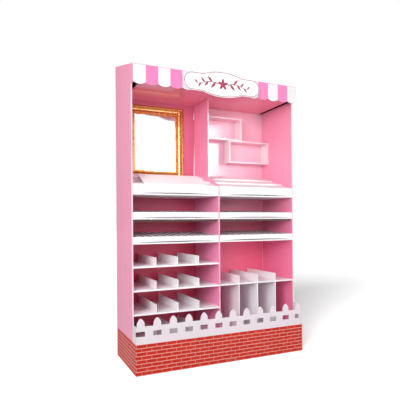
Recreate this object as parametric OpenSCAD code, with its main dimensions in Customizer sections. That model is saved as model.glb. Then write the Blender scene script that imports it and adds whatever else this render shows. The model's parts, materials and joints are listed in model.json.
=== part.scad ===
// Free-standing card display stand with two columns of shelves under a shop-front canopy.
// The front faces -Y, +X is to the right of someone facing it, and the floor is at Z = 0.

/* [Cabinet] */
// Width over the two side panels
cabinet_w = 994; // [860:1:1140]
// Depth from the shelf fronts to the outside of the back panel
cabinet_d = 340; // [300:1:390]
// Thickness of the side panels
wall_t = 7; // [4:0.5:10]
// Thickness of the centre divider
divider_t = 7; // [4:0.5:10]
// Thickness of the back panel
back_t = 5; // [3:0.5:9]
// Thickness of the shelves and of the plinth deck
shelf_t = 8; // [5:0.5:11]

/* [Shelf levels] */
// Distance from the ceiling down to the underside of the highest shelf
display_h = 579; // [523:1:633]
// Spacing of the three shelves that carry the risers and trays
tray_pitch = 128; // [112:1:142]
// Spacing of the shelves below them
row_pitch = 122; // [108:1:128]
// Least height of the lowest row, which stands on the deck
least_row_h = 80; // [60:1:100]

/* [Canopy] */
// Height of the roof at the back of the cabinet
back_h = 1666; // [1600:1:1780]
// Fall of the roof from the back of the cabinet to its front edge
roof_fall = 105; // [26:1:136]
// Distance of the valance front ahead of the shelf fronts
canopy_out = 45; // [25:1:70]
// Vertical thickness of the roof sheet
roof_t = 5; // [3:0.5:9]
// Height of the roof edge left showing above the valance
roof_reveal = 3.5; // [0:0.5:4]
// Distance from the roof's front edge down to the ceiling underside
ceiling_drop = 78; // [51:1:121]
// Thickness of the ceiling panel
ceiling_t = 5; // [3:0.5:9]
// Open slot between the ceiling panel and each side panel, when the panel is in the middle
ceiling_gap = 31; // [5:1:60]
// Sideways offset of the ceiling panel from the middle
ceiling_offset = 8; // [-20:1:20]

/* [Valance] */
// Thickness of the valance sheet
valance_t = 3; // [2:0.5:5]
// Height of the valance down to the tips of its scallops
valance_h = 98; // [80:1:130]
// Depth of each scallop below the notches between them
scallop_drop = 11; // [6:0.5:20]
// Number of scallops, one to each printed stripe
scallop_count = 15; // [9:2:21]

/* [Plaque] */
// Width over the two end lobes
plaque_w = 460; // [360:1:600]
// Radius of each end lobe
plaque_lobe_r = 49; // [38:1:56]
// Width of the tall middle lobe where it leaves the end lobes
plaque_mid_w = 236; // [160:1:300]
// Height of the middle lobe
plaque_mid_h = 139; // [116:1:170]
// Radius that softens the hollows between the lobes
plaque_soften_r = 10; // [4:1:16]
// Thickness of the plaque board
plaque_t = 6; // [3:0.5:10]
// Thickness of the foam pad that holds the plaque off the valance
pad_t = 8; // [4:0.5:12]
// Width of the foam pad
pad_w = 200; // [100:1:260]
// Height of the foam pad
pad_h = 50; // [30:1:66]

/* [Plinth] */
// Distance of the plinth front ahead of the shelf fronts
plinth_out = 75; // [60:1:100]
// Height of the brick-printed sleeve
plinth_h = 154; // [120:1:160]
// Thickness of the sleeve board
sleeve_t = 3; // [2:0.5:5]
// Strip of side panel left bare behind each end of the sleeve
sleeve_back_gap = 15; // [0:1:40]
// Step from the top of the sleeve down to the deck
deck_drop = 4; // [0:0.5:12]
// Thickness of the support ribs under the deck
rib_t = 7; // [4:0.5:12]
// Number of support ribs
rib_count = 3; // [1:2:5]

/* [Picket fence] */
// Thickness of the fence sheet
fence_t = 3; // [2:0.5:5]
// Length of fence hidden behind the sleeve
fence_tuck = 60; // [30:1:90]
// Top of the rail above the sleeve
rail_h = 89; // [78:1:110]
// Tips of the pickets above the sleeve
picket_h = 130; // [122:1:160]
// Number of pickets along the front
picket_count = 12; // [8:1:14]
// Width of each picket
picket_w = 41; // [30:0.5:50]
// Height of the straight part of each picket above the rail
picket_straight = 7; // [2:0.5:12]
// Distance from a fence corner to the nearest picket
picket_inset = 3; // [1:0.5:16]
// Width of the window cut under each picket
window_w = 43; // [30:0.5:50]
// Height of each window
window_h = 25; // [15:0.5:32]
// Bottom of the windows above the sleeve
window_z = 39; // [25:1:44]
// Distance that the corner windows reach round the folds
window_wrap = 22; // [10:1:30]

/* [Shelf fittings] */
// Thickness of the card that the risers and trays are folded from
card_t = 3; // [2:0.5:4]
// Side clearance of the risers and trays in their bays
tray_gap = 0.5; // [0.2:0.1:0.9]
// Height of the hollow under the middle of each front lip
lip_arch = 5; // [2:0.5:8]
// Height of the front lip of each riser
riser_lip_h = 48; // [36:1:60]
// Climb of each tread from front to back
tread_rise = 24; // [12:1:28]
// Upright step at the back of a tread
step_rise = 8; // [5:0.5:12]
// Number of treads on a riser
tread_count = 3; // [2:1:4]
// Space left behind the risers for the mirror frame
riser_back_gap = 20; // [18:1:30]
// Height of the front lip of each tray
tray_lip_h = 30; // [22:1:40]
// Climb of a tray floor from front to back
tray_rise = 18; // [8:1:26]
// Number of slots in a tray floor
slot_count = 12; // [6:1:14]
// Width of each slot
slot_w = 16; // [8:0.5:20]
// Plain floor left in front of and behind the slots
slot_margin = 22; // [15:1:50]

/* [Show card] */
// Width of the sloping card on the left riser
show_card_w = 361; // [250:1:420]
// Set-back of the divider's upper part, which the card's top edge lines up with
divider_setback = 136; // [100:1:155]
// Height of the divider's sloping shoulder above the riser lip
shoulder_h = 64; // [54:1:90]
// Drop of the card's top edge below the divider's shoulder
show_card_drop = 3; // [0:0.5:6]

/* [Stiffeners] */
// Height of the stiffener under each middle shelf
stiffener_h = 11; // [8:0.5:18]
// Thickness of the stiffener
stiffener_t = 4; // [3:0.5:8]
// Distance of the stiffener behind the shelf front
stiffener_set_in = 18; // [10:1:40]
// Number of tab notches in a stiffener
notch_count = 4; // [2:1:6]
// Place of each notch along its part of the strip, from 0 at the left end to 1 at the right end
notch_place = 0.8; // [0.1:0.05:0.9]
// Width of each tab notch
notch_w = 9; // [5:0.5:14]
// Height of each tab notch
notch_h = 5; // [3:0.5:6.5]

/* [Dividers] */
// Height of the low dividers
low_divider_h = 43; // [30:1:60]
// Thickness of the low dividers
low_divider_t = 5; // [3:0.5:8]
// Thickness of the tall partitions at the lower right
partition_t = 6; // [3:0.5:9]
// Distance of dividers and partitions behind the shelf fronts
divider_set_in = 4; // [1:0.5:15]
// Number of cells in a divided row
cell_count = 4; // [2:1:4]

/* [Mirror] */
// Width over the frame
mirror_w = 356; // [280:1:400]
// Height over the frame
mirror_h = 436; // [340:1:460]
// Width of the frame moulding
rail_w = 52; // [38:1:66]
// Depth of the frame moulding in front of the back panel
rail_d = 17; // [12:0.5:17.5]
// Radius of the bead along the outer edge of the moulding
outer_bead_r = 8; // [5:0.5:9]
// Radius of the bead along the inner edge
inner_bead_r = 5; // [3:0.5:5.5]
// Depth of the moulding at the inner bead
inner_bead_d = 13; // [11:0.5:16]
// Depth of the moulding on both sides of the hollow between the beads
cove_d = 11; // [8:0.5:12]
// Sag of the hollow in its middle
cove_sag = 3; // [1:0.5:4]
// Width of the flat rim round the mirror
rim_w = 6; // [3:0.5:9]
// Depth of the flat rim
rim_d = 7; // [5:0.5:9]
// Thickness of the mirror sheet
mirror_t = 4; // [3:0.5:5]
// Distance of the frame below the ceiling
mirror_drop = 27; // [15:1:50]
// Sideways offset of the frame from the middle of its bay
mirror_offset = -16; // [-25:1:25]

/* [Cubbies] */
// Width of each wall cubby
cubby_w = 288; // [246:1:340]
// Height of each wall cubby
cubby_h = 141; // [110:1:155]
// Depth of each wall cubby
cubby_d = 78; // [50:1:110]
// Thickness of the cubby boards
cubby_t = 8; // [5:0.5:12]
// Distance of the upper cubby below the ceiling
cubby_drop = 66; // [40:1:80]

/* [Hidden] */
$fn = 96;
cut = 1;
pink = [0.96, 0.45, 0.62];
side_pink = [0.91, 0.60, 0.72];
white = [0.96, 0.95, 0.96];
stripe_pink = [0.98, 0.52, 0.79];
brick_red = [0.80, 0.20, 0.10];
gold = [0.83, 0.60, 0.26];
mirror_grey = [0.90, 0.92, 0.94];
bare_card = [0.46, 0.42, 0.40];

// Planes across the depth, with the whole stand centred on Y = 0
stand_d = plinth_out + cabinet_d;
plinth_y = -stand_d / 2;
front_y = plinth_y + plinth_out;
back_y = stand_d / 2;
wall_y = back_y - back_t;
inner_d = wall_y - front_y;
valance_y = front_y - canopy_out;
valance_back_y = valance_y + valance_t;

// Planes across the width, and the two bays
side_x = cabinet_w / 2 - wall_t;
bay_w = side_x - divider_t / 2;
left_bay_x = -side_x;
right_bay_x = divider_t / 2;

// Levels
deck_z = plinth_h - deck_drop;
front_h = back_h - roof_fall;
ceiling_z = front_h - ceiling_drop;
top_shelf_z = ceiling_z - display_h;
riser_z = top_shelf_z + shelf_t;
lip_z = riser_z + riser_lip_h;
valance_top_z = front_h - roof_reveal;
notch_z = valance_top_z - valance_h + scallop_drop;
riser_d = inner_d - riser_back_gap;

// Slope of the roof, measured from the back of the valance
roof_slope = (back_h - front_h) / (back_y - valance_back_y);
function roof_z(y) = front_h + (y - valance_back_y) * roof_slope;
function roof_under_z(y) = roof_z(y) - roof_t;

// Underside of shelf number k, counted from the top
tray_level_count = 3;
function shelf_z(k) = top_shelf_z - (min(k, tray_level_count) - 1) * tray_pitch
    - max(k - tray_level_count, 0) * row_pitch;

// The left column has as many rows below the trays as its height holds, the last of them on the deck.
// The right column has one shelf there, half-way down the rows.
row_count = 1 + floor((shelf_z(tray_level_count) - deck_z - least_row_h) / row_pitch);
row_levels = [for (r = [1 : 1 : row_count - 1]) tray_level_count + r];
row_names = concat([for (k = row_levels) str("shelf_", k)], ["deck"]);
row_floors = concat([for (k = row_levels) shelf_z(k) + shelf_t], [deck_z]);
right_shelf_z = shelf_z(tray_level_count + max(1, floor(row_count / 2)));

sides = ["left", "right"];
function bay_x(s) = s == "left" ? left_bay_x : right_bay_x;
cells = [1 : cell_count - 1];

// A sheet drawn as a side view (Y, Z) and extruded from x towards +X
module side_view(x, width) {
    translate([x, 0, 0])
        rotate([90, 0, 90])
            linear_extrude(width)
                children();
}

// A sheet drawn as a front view (X, Z) with its front face at y
module front_view(y, thickness) {
    translate([0, y + thickness, 0])
        rotate([90, 0, 0])
            linear_extrude(thickness)
                children();
}

// Carcass

module side_panel(x) {
    ear_y = valance_back_y;
    side_view(x, wall_t)
        polygon([
            [front_y, 0],
            [back_y, 0],
            [back_y, roof_under_z(back_y)],
            [ear_y, roof_under_z(ear_y)],
            [ear_y, notch_z],
            [front_y, notch_z]
        ]);
}

module left_side_panel() {
    color(side_pink) side_panel(-cabinet_w / 2);
}

module right_side_panel() {
    color(side_pink) side_panel(side_x);
}

module back_panel() {
    color(pink)
        side_view(-side_x, 2 * side_x)
            polygon([
                [wall_y, 0],
                [back_y, 0],
                [back_y, roof_under_z(back_y)],
                [wall_y, roof_under_z(wall_y)]
            ]);
}

// The divider steps back above the risers along a sloping shoulder
module centre_divider() {
    color(pink)
        side_view(-divider_t / 2, divider_t)
            polygon([
                [front_y, deck_z],
                [wall_y, deck_z],
                [wall_y, ceiling_z],
                [front_y + divider_setback, ceiling_z],
                [front_y + divider_setback, lip_z + shoulder_h],
                [front_y, lip_z]
            ]);
}

module ceiling_panel() {
    ceiling_w = 2 * (side_x - ceiling_gap);
    color(pink)
        translate([ceiling_offset - ceiling_w / 2, valance_back_y, ceiling_z])
            cube([ceiling_w, wall_y - valance_back_y, ceiling_t]);
}

module canopy_roof() {
    color(pink)
        side_view(-cabinet_w / 2, cabinet_w)
            polygon([
                [valance_back_y, roof_under_z(valance_back_y)],
                [back_y, roof_under_z(back_y)],
                [back_y, roof_z(back_y)],
                [valance_back_y, roof_z(valance_back_y)]
            ]);
}

// Header

// Each scallop is the cap of a circle as wide as one stripe
module scallop(width) {
    arc_r = (width * width / 4 + scallop_drop * scallop_drop) / (2 * scallop_drop);
    intersection() {
        translate([0, notch_z - scallop_drop + arc_r])
            circle(arc_r);
        translate([-width / 2, notch_z - scallop_drop])
            square([width, scallop_drop]);
    }
}

module striped_valance() {
    stripe_w = cabinet_w / scallop_count;
    color(stripe_pink)
        front_view(valance_y, valance_t) {
            translate([-cabinet_w / 2, notch_z])
                square([cabinet_w, valance_top_z - notch_z]);
            for (i = [0 : scallop_count - 1])
                translate([(i + 0.5) * stripe_w - cabinet_w / 2, 0])
                    scallop(stripe_w);
        }
}

// A tall lens between two round end lobes, with the hollows between them softened
module plaque_outline() {
    shoulder = plaque_lobe_r;
    crown = plaque_mid_h / 2 - shoulder;
    crown_r = (plaque_mid_w * plaque_mid_w / 4 + crown * crown) / (2 * crown);
    lobe_x = plaque_w / 2 - plaque_lobe_r;
    offset(r = -plaque_soften_r)
        offset(delta = plaque_soften_r) {
            for (side = [-1, 1])
                translate([side * lobe_x, 0])
                    circle(plaque_lobe_r);
            square([2 * lobe_x, 2 * shoulder], center = true);
            intersection_for (side = [-1, 1])
                translate([0, side * (crown_r - plaque_mid_h / 2)])
                    circle(crown_r, $fn = 360);
        }
}

module header_plaque() {
    color(white)
        front_view(valance_y - pad_t - plaque_t, plaque_t)
            translate([0, valance_top_z - valance_h / 2])
                plaque_outline();
}

module plaque_pad() {
    color(white)
        translate([-pad_w / 2, valance_y - pad_t, valance_top_z - valance_h / 2 - pad_h / 2])
            cube([pad_w, pad_t, pad_h]);
}

// Plinth and fence

// A sheet folded round the front and both sides of a box
module folded_wrap(outer_w, start_y, end_y, low_z, height, thickness) {
    translate([-outer_w / 2, start_y, low_z])
        difference() {
            cube([outer_w, end_y - start_y, height]);
            translate([thickness, thickness, -cut])
                cube([outer_w - 2 * thickness, end_y - start_y, height + 2 * cut]);
        }
}

module plinth_sleeve() {
    color(brick_red)
        folded_wrap(cabinet_w + 2 * sleeve_t, plinth_y, back_y - sleeve_back_gap, 0, plinth_h, sleeve_t);
}

// The deck fills the plinth between the fence, the side panels and the back panel
module plinth_deck() {
    ledge_y = plinth_y + sleeve_t + fence_t;
    ledge_w = cabinet_w - 2 * fence_t;
    color(white)
        translate([0, 0, deck_z - shelf_t])
            linear_extrude(shelf_t) {
                translate([-ledge_w / 2, ledge_y])
                    square([ledge_w, front_y - ledge_y]);
                translate([-side_x, front_y])
                    square([2 * side_x, inner_d]);
            }
}

// The ribs part the width between the side panels into equal spans
module base_rib(k) {
    ledge_y = plinth_y + sleeve_t + fence_t;
    rib_pitch = 2 * side_x / (rib_count + 1);
    color(bare_card)
        translate([k * rib_pitch - side_x - rib_t / 2, ledge_y, 0])
            cube([rib_t, wall_y - ledge_y, deck_z - shelf_t]);
}

// A picket above the rail: a short straight part and a gothic point
module picket() {
    rail_z = plinth_h + rail_h;
    point_h = picket_h - rail_h - picket_straight;
    arc_r = (picket_w * picket_w / 4 + point_h * point_h) / picket_w;
    translate([-picket_w / 2, rail_z - cut])
        square([picket_w, picket_straight + cut]);
    translate([0, rail_z + picket_straight])
        intersection() {
            intersection_for (side = [-1, 1])
                translate([side * (arc_r - picket_w / 2), 0])
                    circle(arc_r);
            translate([-picket_w / 2, 0])
                square([picket_w, point_h]);
        }
}

// The fence is folded like the sleeve, with half a picket at the end of each return
module picket_fence() {
    fence_y = plinth_y + sleeve_t;
    fence_low_z = plinth_h - fence_tuck;
    window_low_z = plinth_h + window_z;
    first_x = cabinet_w / 2 - picket_inset - picket_w / 2;
    pitch = 2 * first_x / (picket_count - 1);
    corner_reach = picket_inset + picket_w / 2 + window_w / 2;
    color(white)
        difference() {
            union() {
                folded_wrap(cabinet_w, fence_y, front_y, fence_low_z, fence_tuck + rail_h, fence_t);
                front_view(fence_y, fence_t)
                    for (i = [0 : picket_count - 1])
                        translate([i * pitch - first_x, 0])
                            picket();
                for (x = [-cabinet_w / 2, cabinet_w / 2 - fence_t])
                    side_view(x, fence_t)
                        intersection() {
                            translate([front_y, 0])
                                picket();
                            translate([front_y - picket_w, 0])
                                square([picket_w, plinth_h + picket_h]);
                        }
            }
            for (i = [1 : picket_count - 2])
                translate([i * pitch - first_x - window_w / 2, fence_y - cut, window_low_z])
                    cube([window_w, fence_t + 2 * cut, window_h]);
            for (side = [-1, 1])
                translate([side * cabinet_w / 2 - corner_reach, fence_y - cut, window_low_z])
                    cube([2 * corner_reach, window_wrap + cut, window_h]);
        }
}

// Shelves, risers and trays

module shelf(s, z) {
    color(white)
        translate([bay_x(s), front_y, z])
            cube([bay_w, inner_d, shelf_t]);
}

// Front lip with a shallow arch under it, so that it stands on its two ends
module arched_lip(height) {
    lip_w = bay_w - 2 * tray_gap;
    arch_r = (lip_w * lip_w / 4 + lip_arch * lip_arch) / (2 * lip_arch);
    difference() {
        square([lip_w, height]);
        translate([lip_w / 2, lip_arch - arch_r])
            circle(arch_r, $fn = 720);
    }
}

// Height of tread k of a riser, counted from 0 at the front, at a distance y behind the lip
function tread_z(k, y) = riser_lip_h + k * (tread_rise + step_rise)
    + (y - k * riser_d / tread_count) * tread_rise * tread_count / riser_d;

// Number of the tread at a distance y behind the lip
function tread_at(y) = floor(y * tread_count / riser_d);

// Side view of the folded treads and back leg: the upper line, then the lower one on the way back
function tread_line(over) = [
    for (k = [0 : tread_count - 1])
        let (near = k * riser_d / tread_count + over, far = (k + 1) * riser_d / tread_count + over)
            for (y = [near, k == tread_count - 1 ? riser_d - over : far])
                [y, tread_z(k, y) - over]
];
function reversed(list) = [for (i = [len(list) - 1 : -1 : 0]) list[i]];

module riser(s) {
    over = tread_line(0);
    under = tread_line(card_t);
    color(white)
        translate([bay_x(s) + tray_gap, front_y, riser_z]) {
            translate([0, card_t, 0])
                rotate([90, 0, 0])
                    linear_extrude(card_t)
                        arched_lip(riser_lip_h);
            side_view(0, bay_w - 2 * tray_gap)
                polygon(concat(over, [[riser_d, 0], [riser_d - card_t, 0]], reversed(under), [[0, under[0][1]]]));
        }
}

// A card sloping from the riser lip up to the divider's shoulder line, on a folded back leg
module show_card() {
    top_h = riser_lip_h + shoulder_h - show_card_drop;
    slope = (top_h - riser_lip_h) / divider_setback;
    leg_h = tread_z(tread_at(divider_setback), divider_setback);
    color(white)
        translate([0, front_y, riser_z])
            side_view(left_bay_x + bay_w / 2 - show_card_w / 2, show_card_w)
                polygon([
                    [0, riser_lip_h],
                    [0, riser_lip_h + card_t],
                    [divider_setback, top_h + card_t],
                    [divider_setback, leg_h],
                    [divider_setback - card_t, tread_z(tread_at(divider_setback), divider_setback - card_t)],
                    [divider_setback - card_t, top_h - card_t * slope],
                ]);
}

// A tray folded from one sheet: arched lip, slotted floor climbing to the back, and back leg
module tray(s, k) {
    tray_w = bay_w - 2 * tray_gap;
    tray_d = inner_d - tray_gap;
    slot_pitch = tray_w / slot_count;
    back_h_tray = tray_lip_h + tray_rise;
    slope = tray_rise / tray_d;
    color(white)
        translate([bay_x(s) + tray_gap, front_y, shelf_z(k) + shelf_t])
            difference() {
                union() {
                    translate([0, card_t, 0])
                        rotate([90, 0, 0])
                            linear_extrude(card_t)
                                arched_lip(tray_lip_h);
                    side_view(0, tray_w)
                        polygon([
                            [0, tray_lip_h],
                            [tray_d, back_h_tray],
                            [tray_d, 0],
                            [tray_d - card_t, 0],
                            [tray_d - card_t, back_h_tray - card_t * (1 + slope)],
                            [0, tray_lip_h - card_t]
                        ]);
                }
                for (i = [0 : slot_count - 1])
                    translate([(i + 0.5) * slot_pitch - slot_w / 2, slot_margin, lip_arch + cut])
                        cube([slot_w, tray_d - 2 * slot_margin, back_h_tray]);
            }
}

// A strip under the middle shelf, with notches for the shelf's tabs along its top edge
module stiffener(s) {
    notch_pitch = bay_w / notch_count;
    color(bare_card)
        translate([bay_x(s), front_y + stiffener_set_in, shelf_z(tray_level_count - 1) - stiffener_h])
            difference() {
                cube([bay_w, stiffener_t, stiffener_h]);
                for (i = [0 : notch_count - 1])
                    translate([(i + notch_place) * notch_pitch, -cut, stiffener_h - notch_h])
                        cube([notch_w, stiffener_t + 2 * cut, notch_h + cut]);
            }
}

// Low dividers and tall partitions, standing at the joins between the cells of a row
module upright(s, c, low_z, height, thickness) {
    color(white)
        translate([bay_x(s) + c * bay_w / cell_count - thickness / 2, front_y + divider_set_in, low_z])
            cube([thickness, inner_d - divider_set_in, height]);
}

// Mirror

// A rounded ridge round x that stands on the wall
module bead(x, radius, depth) {
    translate([x, depth - radius])
        circle(radius, $fn = 32);
    translate([x - radius, 0])
        square([2 * radius, depth - radius]);
}

// Section of the moulding: outer bead, hollow, inner bead and flat rim, with its outer edge at X = 0
module rail_section() {
    inner_x = rail_w - rim_w - inner_bead_r;
    cove_w = inner_x - inner_bead_r - 2 * outer_bead_r;
    cove_r = (cove_w * cove_w / 4 + cove_sag * cove_sag) / (2 * cove_sag);
    bead(outer_bead_r, outer_bead_r, rail_d);
    bead(inner_x, inner_bead_r, inner_bead_d);
    square([rail_w, rim_d]);
    difference() {
        translate([outer_bead_r, 0])
            square([inner_x - outer_bead_r, cove_d]);
        translate([2 * outer_bead_r + cove_w / 2, cove_d - cove_sag + cove_r])
            circle(cove_r);
    }
}

// One side of the frame: the moulding cut to a mitre at both ends, lying along +X with its outer edge at Y = 0
module frame_rail(length) {
    intersection() {
        rotate([90, 0, 90])
            linear_extrude(length)
                rail_section();
        translate([0, 0, -cut])
            linear_extrude(rail_d + 2 * cut)
                polygon([[0, 0], [length, 0], [length - rail_w, rail_w], [rail_w, rail_w]]);
    }
}

// Places what is drawn flat (X right, Y up, Z out of the wall) on the back wall, at the frame's lower left corner
module on_mirror_wall() {
    corner_x = left_bay_x + bay_w / 2 + mirror_offset - mirror_w / 2;
    translate([corner_x, wall_y, ceiling_z - mirror_drop - mirror_h])
        rotate([90, 0, 0])
            children();
}

module mirror_frame() {
    color(gold)
        on_mirror_wall() {
            frame_rail(mirror_w);
            translate([mirror_w, mirror_h, 0])
                rotate([0, 0, 180])
                    frame_rail(mirror_w);
            translate([mirror_w, 0, 0])
                rotate([0, 0, 90])
                    frame_rail(mirror_h);
            translate([0, mirror_h, 0])
                rotate([0, 0, -90])
                    frame_rail(mirror_h);
        }
}

module mirror_sheet() {
    color(mirror_grey)
        on_mirror_wall()
            translate([rail_w, rail_w, 0])
                cube([mirror_w - 2 * rail_w, mirror_h - 2 * rail_w, mirror_t]);
}

// Wall cubbies

// An open tube of four boards with its back against the back panel
module cubby(x, z) {
    color(pink)
        front_view(wall_y - cubby_d, cubby_d)
            translate([x, z])
                difference() {
                    square([cubby_w, cubby_h]);
                    translate([cubby_t, cubby_t])
                        square([cubby_w - 2 * cubby_t, cubby_h - 2 * cubby_t]);
                }
}

module upper_cubby() {
    cubby(right_bay_x, ceiling_z - cubby_drop - cubby_h);
}

module lower_cubby() {
    cubby(side_x - cubby_w, ceiling_z - cubby_drop - 2 * cubby_h);
}

left_side_panel();
right_side_panel();
back_panel();
centre_divider();
ceiling_panel();
canopy_roof();
striped_valance();
header_plaque();
plaque_pad();
plinth_sleeve();
plinth_deck();
picket_fence();
for (k = [1:rib_count])
    base_rib(k);
mirror_frame();
mirror_sheet();
upper_cubby();
lower_cubby();
show_card();
for (s = sides) {
    riser(s);
    stiffener(s);
    for (k = [1:tray_level_count])
        shelf(s, shelf_z(k));
    for (k = [2:tray_level_count])
        tray(s, k);
}
for (k = row_levels)
    shelf("left", shelf_z(k));
shelf("right", right_shelf_z);  // right_shelf_4
for (r = [0 : row_count - 1], c = cells)
    upright("left", c, row_floors[r], low_divider_h, low_divider_t);
for (c = cells) {
    upright("right", c, right_shelf_z + shelf_t, low_divider_h, low_divider_t);
    upright("right", c, deck_z, right_shelf_z - deck_z, partition_t);
}
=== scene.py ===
import json
import math

import bmesh
import bpy
from mathutils import Matrix, Vector


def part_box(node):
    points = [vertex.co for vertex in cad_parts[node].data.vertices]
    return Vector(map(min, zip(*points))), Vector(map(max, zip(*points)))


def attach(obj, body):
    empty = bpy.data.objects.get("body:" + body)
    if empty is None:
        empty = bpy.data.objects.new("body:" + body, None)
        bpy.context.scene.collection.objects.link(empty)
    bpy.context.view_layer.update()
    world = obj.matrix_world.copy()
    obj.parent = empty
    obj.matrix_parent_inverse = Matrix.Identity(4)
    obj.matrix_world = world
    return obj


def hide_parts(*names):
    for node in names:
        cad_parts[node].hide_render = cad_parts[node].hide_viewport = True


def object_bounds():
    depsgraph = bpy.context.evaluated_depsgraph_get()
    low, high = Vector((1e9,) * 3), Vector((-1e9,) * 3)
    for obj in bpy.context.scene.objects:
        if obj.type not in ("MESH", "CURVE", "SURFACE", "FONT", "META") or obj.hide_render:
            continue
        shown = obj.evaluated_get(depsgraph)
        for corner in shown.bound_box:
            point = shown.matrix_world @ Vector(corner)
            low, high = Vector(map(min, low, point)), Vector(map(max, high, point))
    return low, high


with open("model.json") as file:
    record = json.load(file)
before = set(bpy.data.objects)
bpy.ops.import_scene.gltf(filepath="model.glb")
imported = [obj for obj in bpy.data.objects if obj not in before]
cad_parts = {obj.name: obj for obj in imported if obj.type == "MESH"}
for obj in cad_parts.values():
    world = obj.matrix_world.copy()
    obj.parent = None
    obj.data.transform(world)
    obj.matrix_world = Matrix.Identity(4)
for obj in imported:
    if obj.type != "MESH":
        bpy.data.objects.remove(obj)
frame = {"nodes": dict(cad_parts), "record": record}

cadLow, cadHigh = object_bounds()  # the CAD box, before anything is added
scene = bpy.context.scene
nodes = frame["nodes"]
slotOf = {part["node"]: part["material_slot"] for part in frame["record"]["subparts"]}
millimetre = 0.001


# Small helpers for node trees

def ink(red, green, blue):
    # a colour picked in screen values from 0 to 255, as the linear RGBA that sockets take
    def linear(value):
        share = value / 255
        return share / 12.92 if share <= 0.04045 else ((share + 0.055) / 1.055) ** 2.4
    return (linear(red), linear(green), linear(blue), 1.0)


def place(tree, kind, **settings):
    node = tree.nodes.new(kind)
    for key, value in settings.items():
        setattr(node, key, value)
    return node


def feed(tree, socket, value):
    if isinstance(value, bpy.types.NodeSocket):
        tree.links.new(value, socket)
    else:
        socket.default_value = value


def calc(tree, operation, *values):
    node = place(tree, "ShaderNodeMath", operation=operation)
    for socket, value in zip(node.inputs, values):
        feed(tree, socket, value)
    return node.outputs[0]


def mixColour(tree, factor, first, second, mode="MIX"):
    node = place(tree, "ShaderNodeMix", data_type="RGBA", blend_type=mode)
    feed(tree, node.inputs[0], factor)
    feed(tree, node.inputs[6], first)
    feed(tree, node.inputs[7], second)
    return node.outputs[2]


def mixValue(tree, factor, first, second):
    node = place(tree, "ShaderNodeMix", data_type="FLOAT")
    feed(tree, node.inputs[0], factor)
    feed(tree, node.inputs[2], first)
    feed(tree, node.inputs[3], second)
    return node.outputs[0]


def remap(tree, value, fromLow, fromHigh, toLow, toHigh):
    node = place(tree, "ShaderNodeMapRange", clamp=True)
    for socket, entry in zip(node.inputs, (value, fromLow, fromHigh, toLow, toHigh)):
        feed(tree, socket, entry)
    return node.outputs[0]


def noise(tree, vector, scale, detail=2.0, roughness=0.5):
    node = place(tree, "ShaderNodeTexNoise")
    feed(tree, node.inputs["Vector"], vector)
    feed(tree, node.inputs["Scale"], scale)
    feed(tree, node.inputs["Detail"], detail)
    feed(tree, node.inputs["Roughness"], roughness)
    return node.outputs["Fac"]


def dot(tree, first, second):
    node = place(tree, "ShaderNodeVectorMath", operation="DOT_PRODUCT")
    feed(tree, node.inputs[0], first)
    feed(tree, node.inputs[1], second)
    return node.outputs["Value"]


def objectPoint(tree):
    return place(tree, "ShaderNodeTexCoord").outputs["Object"]


def axesOf(tree, point):
    node = place(tree, "ShaderNodeSeparateXYZ")
    feed(tree, node.inputs[0], point)
    return node.outputs


def startGroup(name, inputs, outputs):
    group = bpy.data.node_groups.new(name, "ShaderNodeTree")
    for label, kind, value in inputs:
        socket = group.interface.new_socket(label, in_out="INPUT", socket_type=kind)
        socket.default_value = value
    for label, kind in outputs:
        group.interface.new_socket(label, in_out="OUTPUT", socket_type=kind)
    entry = group.nodes.new("NodeGroupInput").outputs
    result = group.nodes.new("NodeGroupOutput").inputs
    return group, entry, result


def useGroup(tree, group, **values):
    node = place(tree, "ShaderNodeGroup", node_tree=group)
    for key, value in values.items():
        feed(tree, node.inputs[key], value)
    return node.outputs


# Shared effects

noiseSpan = (0.3, 0.7)  # where most values of a noise texture lie
flutePitch = 8 * millimetre
sheetLook = {
    "swellScale": 4.0, "toneScale": 9.0, "glossScale": 45.0, "filmScale": (55.0, 55.0, 240.0),
}
edgeLook = {"limit": 0.6}  # cosine to the thickness below which a face is a cut edge
scuffLook = {
    "streakScale": (14.0, 14.0, 55.0), "rubbedSpan": (0.62, 0.75), "floorReach": 0.25, "floorExtra": 0.06,
}


def stretched(tree, point, scale):
    node = place(tree, "ShaderNodeMapping")
    feed(tree, node.inputs["Vector"], point)
    node.inputs["Scale"].default_value = scale
    return node.outputs["Vector"]


def fluteWave(tree, along, pitch):
    turns = calc(tree, "DIVIDE", along, pitch)
    return calc(tree, "SINE", calc(tree, "MULTIPLY", turns, 2 * math.pi))


def makeSheetGroup():
    # laminated board: slow waviness, the faint washboard of the flutes, and uneven tone and gloss
    group, entry, result = startGroup(
        "laminatedSheet",
        [("point", "NodeSocketVector", (0, 0, 0)), ("fluteRun", "NodeSocketVector", (1, 0, 0)),
         ("flutePitch", "NodeSocketFloat", flutePitch), ("ripple", "NodeSocketFloat", 0.1),
         ("crinkle", "NodeSocketFloat", 0.0)],
        [("tone", "NodeSocketFloat"), ("height", "NodeSocketFloat"), ("gloss", "NodeSocketFloat")])
    wave = fluteWave(group, dot(group, entry["point"], entry["fluteRun"]), entry["flutePitch"])
    swell = noise(group, entry["point"], sheetLook["swellScale"], 1.0)
    film = noise(group, stretched(group, entry["point"], sheetLook["filmScale"]), 1.0, 2.0)
    height = calc(group, "MULTIPLY_ADD", wave, entry["ripple"], swell)
    height = calc(group, "MULTIPLY_ADD", film, entry["crinkle"], height)
    feed(group, result["tone"], noise(group, entry["point"], sheetLook["toneScale"], 4.0, 0.6))
    feed(group, result["height"], height)
    feed(group, result["gloss"], noise(group, entry["point"], sheetLook["glossScale"], 3.0))
    return group


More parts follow.
